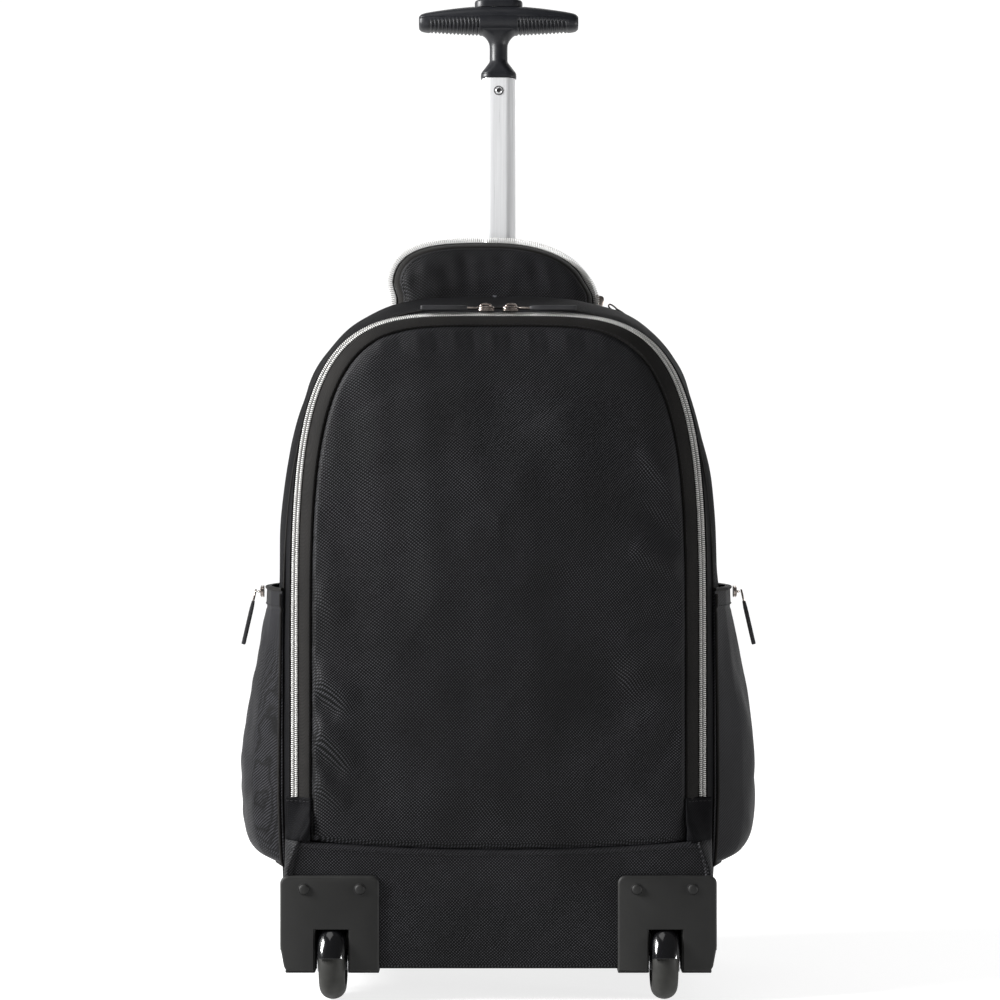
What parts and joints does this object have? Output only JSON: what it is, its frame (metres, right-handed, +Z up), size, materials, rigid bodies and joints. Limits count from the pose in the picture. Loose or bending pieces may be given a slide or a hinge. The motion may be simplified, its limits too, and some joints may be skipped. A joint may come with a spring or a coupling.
{
  "type": "rolling laptop case",
  "caption": "Wheeled laptop backpack with a telescoping T-handle, a U-zipped front panel, a zipped handle cover, side pockets and stowable straps.",
  "frame": {"origin": "centre of the overall box on the floor that the wheels and rear feet stand on", "axes": "+Z up, -Y towards the zipped front and the wheels, +X to the right seen from the front"},
  "size_m": [0.3822, 0.2254, 0.7364],
  "materials": {
    "body_fabric": "black twill nylon with a slight sheen",
    "zip_coil": "silver-white coil zipper",
    "slider_metal": "dark plated metal",
    "pull_rubber": "dark matte rubbery pull tabs",
    "tube_aluminium": "satin anodised",
    "moulded_plastic": "plain moulded plastic",
    "steel": "plated steel",
    "grip_plastic": "satin black plastic",
    "plate_plastic": "finely textured dark grey plastic",
    "tyre_rubber": "matte dark grey",
    "gloss_black": "gloss black moulding",
    "padding": "black air mesh over foam",
    "webbing": "black woven webbing"
  },
  "bodies": {
    "bag": {"body_shell": "body_fabric", "base_front_panel": "body_fabric", "front_zip_body_half": "zip_coil", "garage_back": "body_fabric", "garage_zip_back_half": "zip_coil", "pocket_left": "body_fabric", "pocket_right": "body_fabric", "outer_tube": "tube_aluminium", "tube_foot": "moulded_plastic", "handle_cup": "moulded_plastic", "wheel_housing_left": "plate_plastic", "wheel_housing_right": "plate_plastic", "axle_left": "steel", "axle_right": "steel", "plate_rivet_left_outer": "plate_plastic", "plate_rivet_left_inner": "plate_plastic", "plate_rivet_right_inner": "plate_plastic", "plate_rivet_right_outer": "plate_plastic", "rear_foot_left": "plate_plastic", "rear_foot_right": "plate_plastic", "base_tray": "moulded_plastic", "back_board": "moulded_plastic", "laptop_sleeve": "padding", "back_pad_left": "padding", "back_pad_right": "padding", "shoulder_strap_left": "padding", "shoulder_strap_right": "padding", "strap_webbing_left": "webbing", "strap_webbing_right": "webbing", "strap_buckle_left": "gloss_black", "strap_buckle_right": "gloss_black", "grab_handle": "webbing"},
    "front_flap": {"front_panel": "body_fabric", "front_zip_flap_half": "zip_coil"},
    "garage_flap": {"garage_cover": "body_fabric", "garage_zip_front_half": "zip_coil"},
    "handle": {"inner_tube": "tube_aluminium", "lock_plug": "moulded_plastic", "grip_lower": "grip_plastic", "grip_upper": "grip_plastic", "grip_screw": "steel", "button_spring": "steel"},
    "button": {"button": "grip_plastic", "release_rod": "tube_aluminium"},
    "lock_pin": {"lock_pin": "steel"},
    "wheel_left": {"tyre_left": "tyre_rubber", "hub_left": "gloss_black"},
    "wheel_right": {"tyre_right": "tyre_rubber", "hub_right": "gloss_black"},
    "front_slider_left": {"front_slider_left": "slider_metal"},
    "front_slider_right": {"front_slider_right": "slider_metal"},
    "front_pull_left": {"front_pull_left": "pull_rubber"},
    "front_pull_right": {"front_pull_right": "pull_rubber"},
    "garage_slider": {"garage_slider": "slider_metal"},
    "garage_pull": {"garage_pull": "pull_rubber"},
    "pocket_slider_left": {"pocket_slider_left": "slider_metal"},
    "pocket_slider_right": {"pocket_slider_right": "slider_metal"},
    "pocket_pull_left": {"pocket_pull_left": "pull_rubber"},
    "pocket_pull_right": {"pocket_pull_right": "pull_rubber"}
  },
  "joints": [
    {"name": "handle_slide", "type": "slide", "parent": "bag", "child": "handle", "axis": [0, 0, 1], "range_m": [-0.195, 0.2]},
    {"name": "button_press", "type": "slide", "parent": "handle", "child": "button", "axis": [0, 0, -1], "range_m": [0, 0.004], "stiffness_N_per_m": 500, "springref_m": -0.002, "deforming": ["button_spring"]},
    {"name": "lock_pin_slide", "type": "slide", "parent": "handle", "child": "lock_pin", "axis": [-1, 0, 0], "range_m": [0, 0.0025]},
    {"name": "wheel_left_spin", "type": "hinge", "parent": "bag", "child": "wheel_left", "pos_m": [-0.117, -0.08186, 0.027], "axis": [1, 0, 0], "continuous": true},
    {"name": "wheel_right_spin", "type": "hinge", "parent": "bag", "child": "wheel_right", "pos_m": [0.117, -0.08186, 0.027], "axis": [1, 0, 0], "continuous": true},
    {"name": "front_panel_fold", "type": "hinge", "parent": "bag", "child": "front_flap", "pos_m": [0, -0.10486, 0.1395], "axis": [1, 0, 0], "range_deg": [0, 85]},
    {"name": "garage_cover_fold", "type": "hinge", "parent": "bag", "child": "garage_flap", "pos_m": [0, 0.01564, 0.5036], "axis": [1, 0, 0], "range_deg": [0, 60]},
    {"name": "front_slider_left_run", "type": "slide", "parent": "bag", "child": "front_slider_left", "axis": [-1, 0, 0], "range_m": [0, 0.045]},
    {"name": "front_slider_right_run", "type": "slide", "parent": "bag", "child": "front_slider_right", "axis": [1, 0, 0], "range_m": [0, 0.045]},
    {"name": "front_pull_left_swing", "type": "hinge", "parent": "front_slider_left", "child": "front_pull_left", "pos_m": [-0.0159, -0.08836, 0.4886], "axis": [0, 1, 0], "range_deg": [0, 85]},
    {"name": "front_pull_right_swing", "type": "hinge", "parent": "front_slider_right", "child": "front_pull_right", "pos_m": [0.0159, -0.08836, 0.4886], "axis": [0, -1, 0], "range_deg": [0, 85]},
    {"name": "garage_slider_run", "type": "hinge", "parent": "bag", "child": "garage_slider", "pos_m": [0.036, 0.04914, 0.506], "axis": [0, -1, 0], "range_deg": [0, 60]},
    {"name": "garage_pull_swing", "type": "hinge", "parent": "garage_slider", "child": "garage_pull", "pos_m": [0.085, 0.04914, 0.501], "axis": [0, -1, 0], "range_deg": [0, 80]},
    {"name": "pocket_slider_left_run", "type": "hinge", "parent": "bag", "child": "pocket_slider_left", "pos_m": [0.091, -0.00786, 0.2855], "axis": [0, 0, 1], "range_deg": [-8, 8]},
    {"name": "pocket_slider_right_run", "type": "hinge", "parent": "bag", "child": "pocket_slider_right", "pos_m": [-0.091, -0.00786, 0.2855], "axis": [0, 0, 1], "range_deg": [-8, 8]},
    {"name": "pocket_pull_left_swing", "type": "hinge", "parent": "pocket_slider_left", "child": "pocket_pull_left", "pos_m": [-0.1796, -0.00786, 0.2855], "axis": [0, 1, 0], "range_deg": [0, 75]},
    {"name": "pocket_pull_right_swing", "type": "hinge", "parent": "pocket_slider_right", "child": "pocket_pull_right", "pos_m": [0.1796, -0.00786, 0.2855], "axis": [0, -1, 0], "range_deg": [0, 75]}
  ],
  "couplings": [
    {"joint": "lock_pin_slide", "follows": "button_press", "ratio": 0.625}
  ]
}
